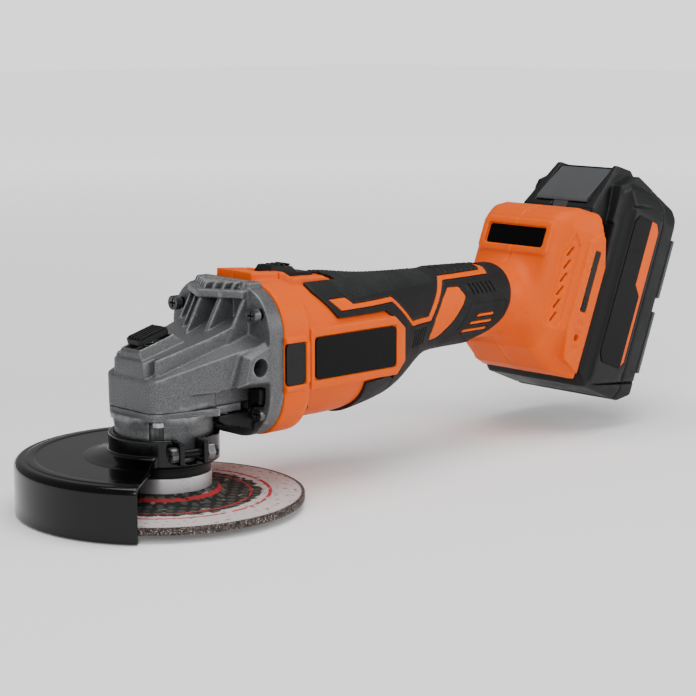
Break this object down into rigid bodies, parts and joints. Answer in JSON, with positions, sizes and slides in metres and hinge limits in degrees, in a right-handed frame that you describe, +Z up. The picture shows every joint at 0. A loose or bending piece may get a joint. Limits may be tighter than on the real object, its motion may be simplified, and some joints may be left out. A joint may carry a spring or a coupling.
{
  "type": "cordless angle grinder",
  "caption": "Battery angle grinder with a bevel-geared spindle, depressed-centre disc, turning guard, spindle lock, slide switch and slide-off battery.",
  "frame": {"origin": "on the spindle's axis, in the lower face of the clamping nut", "axes": "+Z up along the spindle away from the disc, +X back along the motor's axis towards the battery, -Y to the operator's left"},
  "size_m": [0.3916, 0.129, 0.1379],
  "materials": {
    "cast_alloy": "die-cast alloy with a fine grain, silver-grey paint",
    "plated_steel": "zinc plated",
    "black_screws": "black oxide",
    "black_plastic": "fine spark texture",
    "gloss_black_plastic": "printed gloss black",
    "bearing_steel": "ground",
    "motor_laminations": "oiled laminations",
    "copper": "bare",
    "orange_plastic": "moulded with a fine satin texture",
    "grip_rubber": "soft overmoulded rubber",
    "circuit_board": "lacquered",
    "electronic_parts": "potted",
    "bright_flange": "turned and bright plated",
    "abrasive": "resin-bonded grit with a paper label",
    "brass_ring": "pressed sheet",
    "nut_steel": "blackened",
    "guard_paint": "gloss black powder paint",
    "battery_plastic": "fine spark texture",
    "battery_grey": "fine spark texture",
    "cell_wrap": "shrink-wrapped steel cans"
  },
  "bodies": {
    "housing": {"gear_housing": "cast_alloy", "bearing_cover": "cast_alloy", "cover_screws": "plated_steel", "gearbox_screws": "black_screws", "dust_ring": "black_plastic", "spindle_bearing_outer": "bearing_steel", "spindle_bearing_balls": "bearing_steel", "needle_bearing": "plated_steel", "air_baffle": "black_plastic", "front_bearing_outer": "bearing_steel", "rear_bearing_outer": "bearing_steel", "motor_end_cap": "black_plastic", "stator_core": "motor_laminations", "stator_coils": "copper", "housing_left": "orange_plastic", "housing_right": "orange_plastic", "grip_left": "grip_rubber", "grip_right": "grip_rubber", "name_plates": "gloss_black_plastic", "side_badges": "black_plastic", "foot_window": "gloss_black_plastic", "foot_strips": "black_plastic", "housing_screws": "black_screws", "controller_board": "circuit_board", "controller_parts": "electronic_parts", "micro_switch": "black_plastic", "terminal_block": "black_plastic", "terminal_blades": "copper", "power_leads": "electronic_parts", "lock_spring": "plated_steel"},
    "spindle": {"spindle": "bearing_steel", "crown_gear": "bearing_steel", "spindle_bearing_inner": "bearing_steel", "inner_flange": "bright_flange", "grinding_disc": "abrasive", "disc_ring": "brass_ring", "clamping_nut": "nut_steel"},
    "rotor": {"rotor_shaft": "bearing_steel", "rotor_magnets": "motor_laminations", "pinion_gear": "bearing_steel", "cooling_fan": "black_plastic", "front_bearing_inner": "bearing_steel", "rear_bearing_inner": "bearing_steel"},
    "guard": {"wheel_guard": "guard_paint", "guard_clamp_screw": "black_screws", "guard_clamp_nut": "plated_steel"},
    "lock": {"lock_button": "black_plastic", "lock_pin": "bearing_steel"},
    "switch": {"switch_knob": "black_plastic", "switch_rod": "black_plastic"},
    "battery": {"battery_top_case": "battery_plastic", "battery_bottom_case": "battery_plastic", "battery_cells": "cell_wrap", "battery_board": "circuit_board", "battery_contacts": "copper", "battery_bumpers": "battery_grey", "battery_labels": "gloss_black_plastic", "battery_screws": "plated_steel", "latch_spring": "plated_steel"},
    "latch": {"battery_latch": "battery_grey"}
  },
  "joints": [
    {"name": "spindle_spin", "type": "hinge", "parent": "housing", "child": "spindle", "pos_m": [0, 0, 0], "axis": [0, 0, 1], "continuous": true},
    {"name": "rotor_spin", "type": "hinge", "parent": "housing", "child": "rotor", "pos_m": [0, 0, 0.0615], "axis": [1, 0, 0], "continuous": true},
    {"name": "guard_turn", "type": "hinge", "parent": "housing", "child": "guard", "pos_m": [0, 0, 0], "axis": [0, 0, 1], "range_deg": [-75, 75]},
    {"name": "spindle_lock_press", "type": "slide", "parent": "housing", "child": "lock", "axis": [0, 0, -1], "range_m": [0, 0.0035], "stiffness_N_per_m": 500, "springref_m": -0.003, "deforming": ["lock_spring"]},
    {"name": "switch_slide", "type": "slide", "parent": "housing", "child": "switch", "axis": [-1, 0, 0], "range_m": [0, 0.007]},
    {"name": "battery_slide", "type": "slide", "parent": "housing", "child": "battery", "axis": [0.3746, 0, 0.9272], "range_m": [0, 0.085]},
    {"name": "battery_latch_press", "type": "slide", "parent": "battery", "child": "latch", "axis": [0.9272, 0, -0.3746], "range_m": [0, 0.003], "stiffness_N_per_m": 500, "springref_m": -0.003, "deforming": ["latch_spring"]}
  ],
  "couplings": [
    {"joint": "rotor_spin", "follows": "spindle_spin", "ratio": 3.1}
  ]
}
